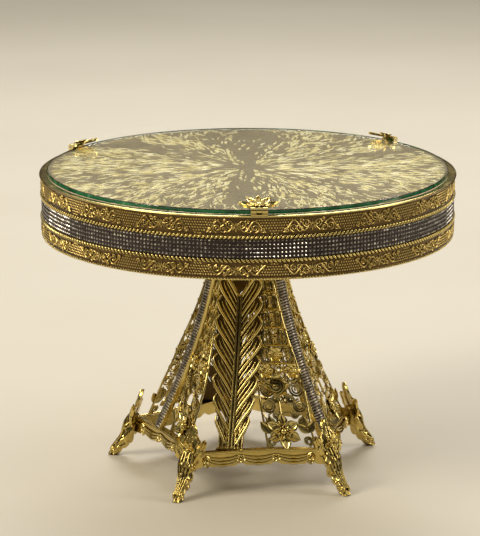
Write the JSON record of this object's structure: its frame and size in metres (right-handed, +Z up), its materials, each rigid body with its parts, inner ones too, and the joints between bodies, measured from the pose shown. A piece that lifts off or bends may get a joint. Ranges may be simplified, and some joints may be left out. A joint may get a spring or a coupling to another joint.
{
  "type": "pedestal sweets stand",
  "caption": "Round glass-topped sweets stand: a gold drum with stamped strips and bands of stones on a flared openwork pedestal with feet, and hinged claws over the glass.",
  "frame": {"origin": "on the floor, under the middle of the round drum", "axes": "+Z up through the middle of the drum, -Y towards the front, the middle of one side of the base"},
  "size_m": [0.3, 0.3, 0.2305],
  "materials": {
    "polished_gold": "polished gold plate",
    "cast_gold": "cast relief, gold plated",
    "stamped_gold": "stamped strip, toned gold plate",
    "cut_stones": "small cut stones in metal mesh",
    "clear_glass": "clear float glass, polished edge",
    "leaf_foil": "pressed board under gold leaf strokes",
    "zinc_steel": "zinc plated steel"
  },
  "bodies": {
    "stand": {"base_ring": "cast_gold", "bottom_rope": "polished_gold", "claw_bracket_front": "polished_gold", "claw_bracket_left": "polished_gold", "claw_bracket_right": "polished_gold", "claw_pin_front": "zinc_steel", "claw_pin_left": "zinc_steel", "claw_pin_right": "zinc_steel", "deck_plate": "polished_gold", "deck_post": "zinc_steel", "drum_floor": "polished_gold", "drum_wall": "polished_gold", "filigree_1": "cast_gold", "filigree_2": "cast_gold", "filigree_3": "cast_gold", "filigree_4": "cast_gold", "filigree_5": "cast_gold", "foil_board": "leaf_foil", "foot_1": "cast_gold", "foot_2": "cast_gold", "foot_3": "cast_gold", "foot_4": "cast_gold", "foot_5": "cast_gold", "glass_plate": "clear_glass", "leaf_rib_1": "polished_gold", "leaf_rib_2": "polished_gold", "lower_band": "stamped_gold", "middle_rope": "polished_gold", "pedestal_plate": "polished_gold", "rib_stones_1": "cut_stones", "rib_stones_2": "cut_stones", "rib_stones_3": "cut_stones", "rim_lip": "polished_gold", "stone_mesh": "cut_stones", "stone_rib_1": "polished_gold", "stone_rib_2": "polished_gold", "stone_rib_3": "polished_gold", "tray_bolts": "zinc_steel", "tray_nuts": "zinc_steel", "tray_washers": "zinc_steel", "upper_band": "stamped_gold", "upper_rope": "polished_gold"},
    "claw_front": {"claw_front": "polished_gold"},
    "claw_right": {"claw_right": "polished_gold"},
    "claw_left": {"claw_left": "polished_gold"}
  },
  "joints": [
    {"name": "claw_front_hinge", "type": "hinge", "parent": "stand", "child": "claw_front", "pos_m": [-0.01029, -0.14714, 0.2243], "axis": [0.9976, -0.0698, 0], "range_deg": [0, 110]},
    {"name": "claw_right_hinge", "type": "hinge", "parent": "stand", "child": "claw_right", "pos_m": [0.11933, 0.0867, 0.2243], "axis": [-0.5878, 0.809, 0], "range_deg": [0, 110]},
    {"name": "claw_left_hinge", "type": "hinge", "parent": "stand", "child": "claw_left", "pos_m": [-0.11933, 0.0867, 0.2243], "axis": [-0.5878, -0.809, 0], "range_deg": [0, 110]}
  ]
}
